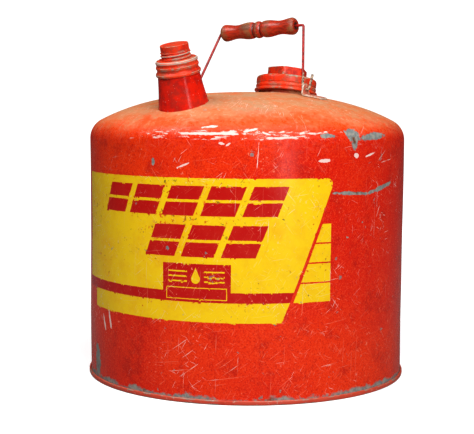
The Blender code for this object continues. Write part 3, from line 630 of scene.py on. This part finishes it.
def soften(corners, steps=5):
    """Rounds the corners of a closed outline.

    A corner is (radius, height, rounding, kind), with the last two optional. The result is (radius, height,
    wear, kind) points. Wear rises to CORNER_WEAR on outward corners and falls below 0 in hollows.
    """
    full = [(*corner, *(0.0, None)[len(corner) - 2 :]) for corner in corners]
    area = sum(a[0] * b[1] - b[0] * a[1] for a, b in zip(full, full[1:] + full[:1]))
    if area < 0:
        full.reverse()
    made = []
    for i, (radius, height, rounding, kind) in enumerate(full):
        here = Vector((radius, height))
        before = Vector(full[i - 1][:2])
        after = Vector(full[(i + 1) % len(full)][:2])
        into, out = here - before, after - here
        if not rounding or into.length < 1e-9 or out.length < 1e-9:
            made.append((radius, height, 0.0, kind))
            continue
        reach_in = min(rounding, 0.48 * into.length)
        reach_out = min(rounding, 0.48 * out.length)
        start, end = here - into.normalized() * reach_in, here + out.normalized() * reach_out
        turn = into.x * out.y - into.y * out.x
        for k in range(steps + 1):
            t = k / steps
            point = curve_point(start, here, end, t)
            wear = math.copysign(math.sin(math.pi * t), turn) * (BARE_WEAR if kind == "bare" else CORNER_WEAR)
            made.append((point.x, point.y, wear, kind))
    return made


def rows(radius, low, high, count, kind=None):
    """Evenly spaced outline points up or down a wall."""
    return [(radius, low + (high - low) * i / count, 0.0, kind) for i in range(count + 1)]


def turned(name, outline, matrix, segments=128, reshape=None):
    """A closed turned piece. reshape(radius, angle, height, wear, kind) returns the final radius and wear."""
    points = soften(outline)
    verts, wears, rings, faces = [], [], [], []
    for radius, height, wear, kind in points:
        if radius < 1e-6:
            rings.append([len(verts)])
            verts.append((0.0, 0.0, height * MM))
            wears.append(wear)
            continue
        ring = []
        for k in range(segments):
            angle = math.tau * k / segments
            final, rub = reshape(radius, angle, height, wear, kind) if reshape else (radius, wear)
            ring.append(len(verts))
            verts.append((final * math.cos(angle) * MM, final * math.sin(angle) * MM, height * MM))
            wears.append(rub)
        rings.append(ring)
    for a, b in zip(rings, rings[1:] + rings[:1]):
        if len(a) == 1 and len(b) == 1:
            continue
        for k in range(segments):
            n = (k + 1) % segments
            quad = [a[k % len(a)], a[n % len(a)], b[n % len(b)], b[k % len(b)]]
            faces.append(list(dict.fromkeys(quad)))
    return add_piece(name, verts, faces, matrix, wears)


def add_piece(name, verts, faces, matrix, wears=None, sharp_degrees=40):
    mesh = bpy.data.meshes.new(name)
    mesh.from_pydata(verts, [], faces)
    if wears:
        mesh.attributes.new("wear", "FLOAT", "POINT").data.foreach_set("value", wears)
    mesh.validate()
    face_outwards(mesh)
    mesh.shade_smooth()
    mesh.set_sharp_from_angle(angle=math.radians(sharp_degrees))
    piece = add_object(name, mesh)
    piece.matrix_world = matrix
    return piece


def face_outwards(mesh):
    bm = bmesh.new()
    bm.from_mesh(mesh)
    bmesh.ops.recalc_face_normals(bm, faces=bm.faces)
    bm.to_mesh(mesh)
    bm.free()


def drill(piece, *cutters):
    """Cuts other pieces' shapes out of a piece, and removes them."""
    for cutter in cutters:
        modifier = piece.modifiers.new("drill", "BOOLEAN")
        modifier.operation = "DIFFERENCE"
        modifier.object = cutter
    graph = bpy.context.evaluated_depsgraph_get()
    mesh = bpy.data.meshes.new_from_object(piece.evaluated_get(graph))
    piece.modifiers.clear()
    piece.data = mesh
    for cutter in cutters:
        bpy.data.objects.remove(cutter)


def dress(piece, material, body, slot, *nodes):
    """Gives a piece its material and its body, and hides the CAD nodes it stands for."""
    piece.data.materials.clear()
    piece.data.materials.append(material)
    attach(piece, body)
    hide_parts(*nodes)


# Threads as pitch, low end and high end, in millimetres along the piece's axis.
NECK_THREAD = (3.2, 30.8, 38.8)
RING_THREAD = (3.2, 31.4, 37.8)
SPOUT_CAP_THREAD = (3.0, 45.0, 52.4)
SPOUT_CAP_BEAD = (3.0, 43.9, 50.3)
MOUTH_THREAD = (4.0, 6.4, 16.4)
FILLER_CAP_THREAD = (4.0, 7.0, 14.8)


def thread_ends(height, pitch, low, high):
    """1 along a thread, and down to 0 at both its ends."""
    return max(0.0, min(1.0, min(height - low, high - height) / (0.3 * pitch)))


def wave(angle, height, thread):
    """0 in the hollow and 1 on the crest of a right-hand thread that dies out at both ends."""
    return thread_ends(height, *thread) * (0.5 + 0.5 * math.cos(math.tau * height / thread[0] - angle))


def thread_rows(radius, thread, count):
    return rows(radius, thread[1], thread[2], count, "thread")


def threaded(thread, depth, inward=False):
    """A reshape function for the rows of kind "thread", which makes them a wave.

    It stands out from the radius given, or in from it on the inside of a cap.
    """

    def reshape(radius, angle, height, wear, kind):
        if kind != "thread":
            return radius, wear
        crest = wave(angle, height, thread)
        if inward:
            return radius - depth * thread_ends(height, *thread) * (1 - crest), wear
        return radius + depth * crest, crest - 0.4

    return reshape


# --- Body and base ---


def dome_height(radius):
    """Height of the dome's outer face, in metres. It leaves the shoulder bend without a crease."""
    edge_radius = WALL_RADIUS - SHOULDER_RADIUS * (1 - math.cos(SHOULDER_ANGLE))
    edge_z = WALL_TOP + SHOULDER_RADIUS * math.sin(SHOULDER_ANGLE)
    edge_slope = -1 / math.tan(SHOULDER_ANGLE)
    drop = edge_z - DOME_TOP
    quartic = (edge_slope * edge_radius - 2 * drop) / (2 * edge_radius**4)
    square = drop / edge_radius**2 - quartic * edge_radius**2
    return DOME_TOP + square * radius**2 + quartic * radius**4


EAR_PLACE = 0.078  # the middle of an ear's foot, from the can's axis, in metres


def distance_to_axis(point, matrix):
    local = matrix.inverted() @ point
    return math.hypot(local.x, local.y)


def dent(point, spout, filler):
    """How far the shell stands out from its drawn shape, in metres.

    It has soft dents, none of them under the fittings, and a lip and a ring round the spout's foot.
    """
    from_spout = distance_to_axis(point, spout)
    from_filler = distance_to_axis(point, filler)
    from_ear = math.hypot(abs(point.x) - EAR_PLACE, 0.6 * point.y)
    calm = 1.0
    if point.z > WALL_TOP:
        for distance, near in ((from_spout, 0.026), (from_filler, 0.034), (from_ear, 0.014)):
            calm *= max(0.0, min(1.0, (distance - near) / 0.02))
    calm *= max(0.0, min(1.0, (point.z - 0.008) / 0.03))
    soft = 0.7 * noise.noise(point * 9) + 0.3 * noise.noise(point * 26 + Vector((3, 5, 7)))
    lip = 1.1 * math.exp(-max(0.0, from_spout - 0.0234) / 0.0022) if point.z > WALL_TOP else 0.0
    ring = 0.25 * math.exp(-(((from_spout - 0.030) / 0.0016) ** 2)) if point.z > WALL_TOP else 0.0
    return (soft * 0.7 * calm + lip + ring) * MM


def make_body(spout, filler, paint):
    radius, top = WALL_RADIUS / MM, WALL_TOP / MM
    outer = rows(radius, 1.3, top, 56)
    bend = SHOULDER_RADIUS / MM
    for k in range(1, 15):
        angle = SHOULDER_ANGLE * k / 14
        outer.append((radius - bend * (1 - math.cos(angle)), top + bend * math.sin(angle)))
    edge = outer[-1][0]
    count = 84
    for k in range(1, count + 1):
        here = edge * (1 - k / count)
        outer.append((here, dome_height(here * MM) / MM))
    inner = []
    for k in range(0, len(outer), 4):
        before, after = outer[max(k - 1, 0)], outer[min(k + 1, len(outer) - 1)]
        along = Vector((after[0] - before[0], after[1] - before[1])).normalized()
        height = outer[k][1] + (SHEET * along.x if k else 0.0)
        inner.append((max(outer[k][0] - SHEET * along.y, 0.0), height))
    inner[-1] = (0.0, DOME_TOP / MM - SHEET)
    body = turned("can_body", outer + inner[::-1], Matrix.Identity(4), 224)
    for vertex in body.data.vertices:
        point = vertex.co.copy()
        level = Vector((point.x, point.y, 0))
        out = level.normalized() if level.length > 1e-6 else Vector((0, 0, 1))
        up = max(0.0, min(1.0, (point.z - WALL_TOP) / 0.022))
        vertex.co = point + (out * (1 - up) + Vector((0, 0, 1)) * up) * dent(point, spout, filler)
    spout_hole = [(0, -12), (25.06 + 0.3, -12), (21.74 + 0.3, 12), (0, 12)]
    filler_hole = [(0, -12), (26.5, -12), (26.5, 12), (0, 12)]
    drill(body, turned("spout_hole", spout_hole, spout, 96), turned("filler_hole", filler_hole, filler, 96))
    body.data.set_sharp_from_angle(angle=math.radians(40))
    dress(body, paint, "can", "red_paint", "body_shell")


def make_base(metal):
    radius = WALL_RADIUS / MM
    inside, seam = radius - 1.3, radius + 2.0
    web = inside - SHEET

    def panel(level, rounding):
        """The flat panel with its raised ring, from the middle outwards."""
        ring = ((0.55, 0.0), (0.58, 1.5), (0.86, 1.5), (0.89, 0.0))
        return [(0.0, level)] + [(share * web, level + rise, rounding) for share, rise in ring]

    lip = radius + 0.3
    rim = [(inside, 10.0, 1.8), (inside, 1.0, 0.2), (lip, 1.0, 0.2), (lip, 4.2, 0.3)]
    rim += [(seam, 4.2, 1.3), (seam, 0.0, 1.4), (web, 0.0, 0.5), (web, 9.0, 1.2)]
    outline = panel(10.0, 1.0) + rim + panel(9.0, 0.8)[::-1]
    base = turned("base_seam", outline, Matrix.Identity(4), 224)
    dress(base, metal, "can", "base_steel", "base_pan")


# --- Spout and filler ---


def make_spout(spout, enamel, steel_enamel):
    neck = [(25.2 - 0.3, -8.0)]
    for k in range(13):
        h = 29.6 * k / 12
        neck.append((23.4 - 4.1 * h / 29.6 - 0.35 * math.sin(math.pi * h / 29.6), h))
    neck += [(17.2, 29.9, 0.3)] + thread_rows(17.2, NECK_THREAD, 40) + [(17.2, 39.2, 0.3)]
    neck += [(15.6, 39.2, 0.3), (15.6, 29.8, 0.5), (18.5, 26.6, 0.5), (23.3, -8.0)]
    piece = turned("spout_neck_cone", neck, spout, 128, threaded(NECK_THREAD, 0.9))
    dress(piece, steel_enamel, "can", "red_paint", "spout_neck")

    collar = [(19.9, 28.8, 0.3), (19.9, 30.2, 0.3), (18.5, 30.9, 0.3)] + thread_rows(18.5, RING_THREAD, 32)
    collar += [(18.5, 42.3, 0.3), (12.4, 42.3, 0.2), (12.4, 43.3, 0.2)]
    collar += [(16.6, 43.3, 1.2), (18.9, 42.7, 1.2, "bare"), (19.75, 41.4, 0.8, "bare")]
    collar += [(19.45, 40.2, 0.7), (18.95, 39.2, 0.6), (19.1, 38.3, 0.6), (19.85, 37.3, 0.6)]
    collar += [(19.85, 35.9, 0.6), (19.2, 34.9, 0.6), (19.1, 33.2, 0.7), (20.1, 32.0, 0.6)]
    collar += [(20.95, 31.0, 0.7), (20.95, 29.4, 0.7), (20.3, 28.8, 0.4)]
    piece = turned("spout_ring", collar, spout, 128, threaded(RING_THREAD, 0.9, inward=True))
    dress(piece, enamel, "spout_collar", "cap_paint", "spout_collar")

    cap = [(12.1, 43.6, 0.2)] + thread_rows(12.1, SPOUT_CAP_THREAD, 32) + [(12.1, 55.5, 0.2), (0.0, 55.5)]
    cap += [(0.0, 56.1), (11.7, 56.1, 0.5), (12.2, 56.4, 0.4), (13.15, 56.35, 0.6)]
    cap += [(13.2, 50.9, 0.4), (12.95, 50.4, 0.3), (13.5, 50.0, 0.3)]
    cap += rows(13.5, 49.6, 44.6, 30, "bead") + [(13.7, 44.2, 0.3), (13.9, 43.6, 0.3)]
    inner_thread = threaded(SPOUT_CAP_THREAD, 0.7, inward=True)

    def reshape(radius, angle, height, wear, kind):
        if kind != "bead":
            return inner_thread(radius, angle, height, wear, kind)
        crest = wave(angle, height, SPOUT_CAP_BEAD)
        return radius - 0.5 + 1.1 * crest, 1.5 * crest - 0.5

    piece = turned("spout_cap_shell", cap, spout, 112, reshape)
    dress(piece, enamel, "spout_cap", "cap_paint", "spout_cap")


HEX_FLAT = math.radians(60)
HEX_TURN = math.radians(10)  # of the crown, from the filler's own X axis


def hexagon(radius, angle):
    """Radius at an angle of a hexagon with soft corners, which is this far from its middle to its flats."""
    turn = (angle + HEX_TURN) % HEX_FLAT - HEX_FLAT / 2
    return radius * (1 / math.cos(turn) - 0.028 * (abs(turn) / (HEX_FLAT / 2)) ** 10)


def make_filler(filler, enamel, steel_enamel):
    neck = [(25.8, -6.4, 0.3), (29.2, -6.4, 0.4), (29.2, -5.2, 0.4), (26.2, -5.2, 0.6), (26.2, -0.6, 0.2)]
    neck += [(32.5, -0.6, 0.3), (32.5, 0.7, 0.6), (29.5, 1.1, 1.0), (26.6, 2.2, 1.2), (26.2, 5.8, 0.3)]
    neck += thread_rows(26.2, MOUTH_THREAD, 44) + [(26.2, 17.0, 0.4), (23.6, 17.0, 0.5), (23.6, -6.4)]
    piece = turned("filler_mouth_ring", neck, filler, 160, threaded(MOUTH_THREAD, 1.0))
    dress(piece, steel_enamel, "can", "red_paint", "filler_neck")

    cap = [(27.6, 4.9, 0.3), (27.6, 6.2, 0.2)] + thread_rows(27.6, FILLER_CAP_THREAD, 36)
    cap += [(27.6, 19.2, 0.8), (17.9, 19.2, 0.5), (17.9, 29.2, 0.5), (0.0, 29.2)]
    cap += [(0.0, 30.15), (15.8, 30.15, 1.0), (17.0, 30.4, 0.6, "hex")]
    cap += [(19.1, 30.4, 1.0, "hex"), (19.1, 21.5, 0.5, "hex"), (19.5, 21.0, 0.4, "hex"), (24.6, 21.0, 1.0)]
    cap += [(31.6, 20.6, 5.2), (31.5, 13.4, 0.5), (30.8, 12.6, 0.4), (30.8, 12.1, 0.3), (31.65, 11.2, 0.6)]
    cap += [(31.65, 9.3, 0.7), (30.9, 8.3, 0.5), (31.1, 7.7, 0.4)]
    cap += [(32.9, 6.9, 0.6), (32.9, 5.2, 0.5), (32.4, 4.9, 0.3)]
    skirt_thread = threaded(FILLER_CAP_THREAD, 1.0, inward=True)

    def reshape(radius, angle, height, wear, kind):
        if kind == "hex":
            corner = abs(((angle + HEX_TURN) % HEX_FLAT) / (HEX_FLAT / 2) - 1)
            return hexagon(radius, angle), wear + (0.8 * corner**6 if height > 21.6 else 0.0)
        return skirt_thread(radius, angle, height, wear, kind)

    piece = turned("filler_cap_shell", cap, filler, 180, reshape)
    dress(piece, enamel, "filler_cap", "cap_paint", "filler_cap")


# --- Bail and ears ---

EAR_TAB = 67.0  # from the can's axis to the tab's middle, in millimetres like all sizes here
EAR_FOOT_END = 88.0
EAR_TOP = 5.4  # of the tab, above the pivot
EAR_HALF_WIDTH = 7.0
EAR_TOP_HALF_WIDTH = 4.6
EAR_TAPER = 12.0  # from the top down to where the tab has its full width
EAR_CORNER, EAR_FOOT_CORNER = 4.0, 3.6
EAR_SHEET = 1.6
EAR_BEND = 2.6
EAR_EYE_RADIUS = 1.9
BAIL_LEAN = math.radians(25)
# The wire's corners, across and along the plane of the bail, from the pivot: hook, leg, grip, leg and hook.
BAIL_ROUTE = [(-70.9, 16.0), (-70.9, 0.0), (-64.0, 0.0), (-50.5, 64.6)]
BAIL_ROUTE += [(46.5, 71.2), (64.0, 0.0), (70.9, 0.0), (70.9, 16.0)]
WIRE_RADIUS = 1.3
WIRE_BEND = 2.6
WIRE_STEP = 3.0
GRIP_LENGTH = 85.0
GRIP_RADIUS = 7.8
GRIP_SWELL = 0.85
GRIP_RING = 0.09  # half width of the middle ring, as a share of half the grip


def ear_path():
    """Middle line of the strip in the (x, z) plane, in millimetres, from the tab's top to the foot's end."""
    pivot = find_joint("bail_swing")["pos_m"][2] / MM
    base = dome_height(EAR_TAB * MM) / MM + 0.3
    floor_at = base + 0.5 * EAR_SHEET
    top = pivot + EAR_TOP
    path = [(EAR_TAB, top - (top - floor_at - EAR_BEND) * k / 16) for k in range(17)]
    for k in range(1, 9):
        angle = math.radians(90 * k / 8)
        out, up = EAR_BEND * (1 - math.cos(angle)), EAR_BEND * (1 - math.sin(angle))
        path.append((EAR_TAB + out, floor_at + up))
    start = EAR_TAB + EAR_BEND
    for k in range(1, 25):
        x = start + (EAR_FOOT_END - start) * k / 24
        settle = 1 - math.exp(-(x - start) / 3.0)
        on_dome = dome_height(x * MM) / MM + 0.35 + 0.5 * EAR_SHEET
        path.append((x, floor_at + (on_dome - floor_at) * settle))
    return path


def round_end(distance, half, corner):
    """Half width of a strip at a distance from its end, whose corners are rounded."""
    if distance >= corner:
        return half
    return half - corner + math.sqrt(max(0.0, corner**2 - (corner - distance) ** 2))


def refined_ends(path):
    """The path with extra points near both ends, so that rounded corners come out round."""
    lengths = [0.0]
    for a, b in zip(path, path[1:]):
        lengths.append(lengths[-1] + math.dist(a, b))
    total = lengths[-1]
    arc = [1 - math.cos(math.radians(7.5 * k)) for k in range(12)]
    near_top = [EAR_CORNER * share for share in arc]
    near_foot = [total - EAR_FOOT_CORNER * share for share in arc]
    made = []
    for distance in sorted(set(lengths + near_top + near_foot)):
        k = max(i for i, length in enumerate(lengths) if length <= distance + 1e-9)
        k = min(k, len(path) - 2)
        share = (distance - lengths[k]) / (lengths[k + 1] - lengths[k])
        point = Vector(path[k]).lerp(Vector(path[k + 1]), share)
        made.append((point, distance, total - distance))
    return made


def make_ear(name, side, enamel, node):
    points = refined_ends(ear_path())
    across = [k / 8 * 2 - 1 for k in range(9)]
    verts, wears, faces = [], [], []
    for layer in (1, -1):
        for i, (point, from_top, from_end) in enumerate(points):
            before, after = points[max(i - 1, 0)][0], points[min(i + 1, len(points) - 1)][0]
            along = (after - before).normalized()
            normal = Vector((-along.y, along.x)) * (0.5 * EAR_SHEET * layer)
            widening = min(1.0, from_top / EAR_TAPER)
            taper = EAR_TOP_HALF_WIDTH + (EAR_HALF_WIDTH - EAR_TOP_HALF_WIDTH) * widening
            foot = round_end(from_end, EAR_HALF_WIDTH, EAR_FOOT_CORNER)
            half = max(0.35, min(round_end(from_top, taper, EAR_CORNER), foot))
            for share in across:
                verts.append((side * (point.x + normal.x) * MM, share * half * MM, (point.y + normal.y) * MM))
                wears.append(0.9 if abs(share) == 1 or min(from_top, from_end) < 0.5 else 0.0)
    wide, layer_size = len(across), len(points) * len(across)

    def at(row, column):
        return row * wide + column

    def rim(a, b):
        """The face between two points of the outer layer and the two behind them."""
        return [a, b, layer_size + b, layer_size + a]

    for row in range(len(points) - 1):
        for column in range(wide - 1):
            near, far = at(row, column), at(row + 1, column)
            corners = [near, near + 1, far + 1, far]
            faces.append(corners)
            faces.append([layer_size + index for index in reversed(corners)])
        for column in (0, wide - 1):
            faces.append(rim(at(row, column), at(row + 1, column)))
    for row in (0, len(points) - 1):
        for column in range(wide - 1):
            faces.append(rim(at(row, column), at(row, column + 1)))
    ear = add_piece(name, verts, faces, Matrix.Identity(4), wears)
    pivot = Vector((side * EAR_TAB * MM, 0, find_joint("bail_swing")["pos_m"][2]))
    across_tab = Matrix.Translation(pivot) @ Matrix.Rotation(math.pi / 2, 4, "Y")
    eye = EAR_EYE_RADIUS
    drill(ear, turned(name + "_eye", [(0, -4), (eye, -4), (eye, 4), (0, 4)], across_tab, 40))
    bevel = ear.modifiers.new("soft edges", "BEVEL")
    bevel.width = 0.3 * MM
    bevel.segments = 3
    bevel.limit_method = "ANGLE"
    bevel.angle_limit = math.radians(55)
    dress(ear, enamel, "can", "ear_paint", node)


def rounded(points, radius, steps=10):
    """The open polyline with each inner corner replaced by a smooth run."""
    made = [points[0]]
    for before, corner, after in zip(points, points[1:], points[2:]):
        to_before, to_after = (before - corner).normalized(), (after - corner).normalized()
        reach = radius / math.tan(to_before.angle(to_after) / 2)
        start, end = corner + to_before * reach, corner + to_after * reach
        made += [curve_point(start, corner, end, k / steps) for k in range(steps + 1)]
    return made + [points[-1]]


def make_bail_wire(paint):
    pivot = Vector(find_joint("bail_swing")["pos_m"])
    place = Matrix.Translation(pivot) @ Matrix.Rotation(-BAIL_LEAN, 4, "X")
    points = rounded([Vector((across * MM, 0, along * MM)) for across, along in BAIL_ROUTE], WIRE_BEND * MM)
    dense = [points[0]]
    for a, b in zip(points, points[1:]):
        count = max(1, round((b - a).length / (WIRE_STEP * MM)))
        dense += [a.lerp(b, k / count) for k in range(1, count + 1)]
    curve = bpy.data.curves.new("bail_rod", "CURVE")
    curve.dimensions = "3D"
    curve.bevel_depth = WIRE_RADIUS * MM
    curve.bevel_resolution = 6
    curve.use_fill_caps = True
    spline = curve.splines.new("POLY")
    spline.points.add(len(dense) - 1)
    for target, point in zip(spline.points, dense):
        target.co = (*point, 1)
    shaped = add_object("bail_rod_curve", curve)
    mesh = bpy.data.meshes.new_from_object(shaped.evaluated_get(bpy.context.evaluated_depsgraph_get()))
    bpy.data.objects.remove(shaped)
    mesh.name = "bail_rod"
    mesh.shade_smooth()
    mesh.set_sharp_from_angle(angle=math.radians(50))
    rod = add_object("bail_rod", mesh)
    rod.matrix_world = place
    dress(rod, paint, "bail", "wire_paint", "bail_wire")


def grip_shape(share):
    """Radius and wear: flared ends, a waist each side and a ring between two grooves in the middle."""
    middle = abs(share - 0.5) * 2
    if middle < GRIP_RING:
        return GRIP_RADIUS + GRIP_SWELL - 1.8 * (middle / GRIP_RING) ** 2, 0.9 - middle / GRIP_RING
    groove = max(0.0, 1 - (middle - GRIP_RING) / GRIP_RING)
    rounding = max(0.0, (middle - 0.92) / 0.08)
    swell = math.cos((middle - 0.26) / 0.34 * math.pi)
    radius = GRIP_RADIUS + GRIP_SWELL * swell - 1.3 * groove**2 - 1.8 * rounding**2
    return radius, 0.35 + 0.45 * swell - 1.6 * groove**2


def make_grip(wood):
    place = joint_frame("grip_spin", Vector((0, 1, 0)))
    half = GRIP_LENGTH / 2
    outline = rows(GRIP_RADIUS, -half, half, 170, "turned")
    outline += [(2.6, half), (2.0, half - 0.6), (2.0, 0.6 - half), (2.6, -half)]

    def reshape(radius, angle, height, wear, kind):
        return grip_shape(height / GRIP_LENGTH + 0.5) if kind == "turned" else (radius, -0.8)

    piece = turned("grip_wood", outline, place, 96, reshape)
    dress(piece, wood, "grip", "grip_wood", "bail_grip")


# --- Assembly ---


def finish_inner_parts():
    """The CAD's own parts inside the can and under the caps keep their shape, with better finishes."""
    tinned = plain_finish("tinned_steel", (0.48, 0.49, 0.48), (0.30, 0.29, 0.26), 0.42, 1.0, 500.0, 0.03)
    brass = plain_finish("dull_brass", (0.56, 0.38, 0.13), (0.35, 0.22, 0.08), 0.42, 1.0, 500.0, 0.03)
    rubber = plain_finish("black_rubber", (0.022, 0.021, 0.020), (0.045, 0.042, 0.038), 0.8, 0.0, 900.0, 0.05)
    finishes = (
        (tinned, ("spout_fitting", "spout_tube", "spout_nozzle")),
        (brass, ("spout_upper_ferrule", "spout_lower_ferrule")),
        (brass_gauze(), ("spout_strainer",)),
        (rubber, ("spout_gasket", "spout_cap_gasket", "filler_gasket")),
    )
    for finish, nodes in finishes:
        for node in nodes:
            for slot in frame["nodes"][node].material_slots:
                slot.material = finish


def main():
    add_camera()
    add_studio()
    level = Vector((1, 0, 0))
    spout, filler = joint_frame("collar_turn", level), joint_frame("filler_turn", level)
    cap_enamel = worn_enamel("cap_enamel", (0.80, 0.046, 0.008), 0.32, (0.46, 0.38, 0.31))
    neck_enamel = worn_enamel("neck_enamel", RED, 0.06, (0.36, 0.30, 0.24), (0.13, 0.24))
    mouth_enamel = worn_enamel("mouth_enamel", (0.42, 0.16, 0.08), 1.0, (0.50, 0.36, 0.24), (0.55, 0.75))
    ear_enamel = worn_enamel("ear_enamel", (0.72, 0.30, 0.20), 1.0, (0.72, 0.58, 0.48))
    make_body(spout, filler, body_paint())
    make_base(worn_seam())
    make_spout(spout, cap_enamel, neck_enamel)
    make_filler(filler, cap_enamel, mouth_enamel)
    make_ear("ear_strip_left", -1, ear_enamel, "bail_ear_left")
    make_ear("ear_strip_right", 1, ear_enamel, "bail_ear_right")
    make_bail_wire(worn_wire())
    make_grip(turned_wood())
    finish_inner_parts()
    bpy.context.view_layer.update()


main()
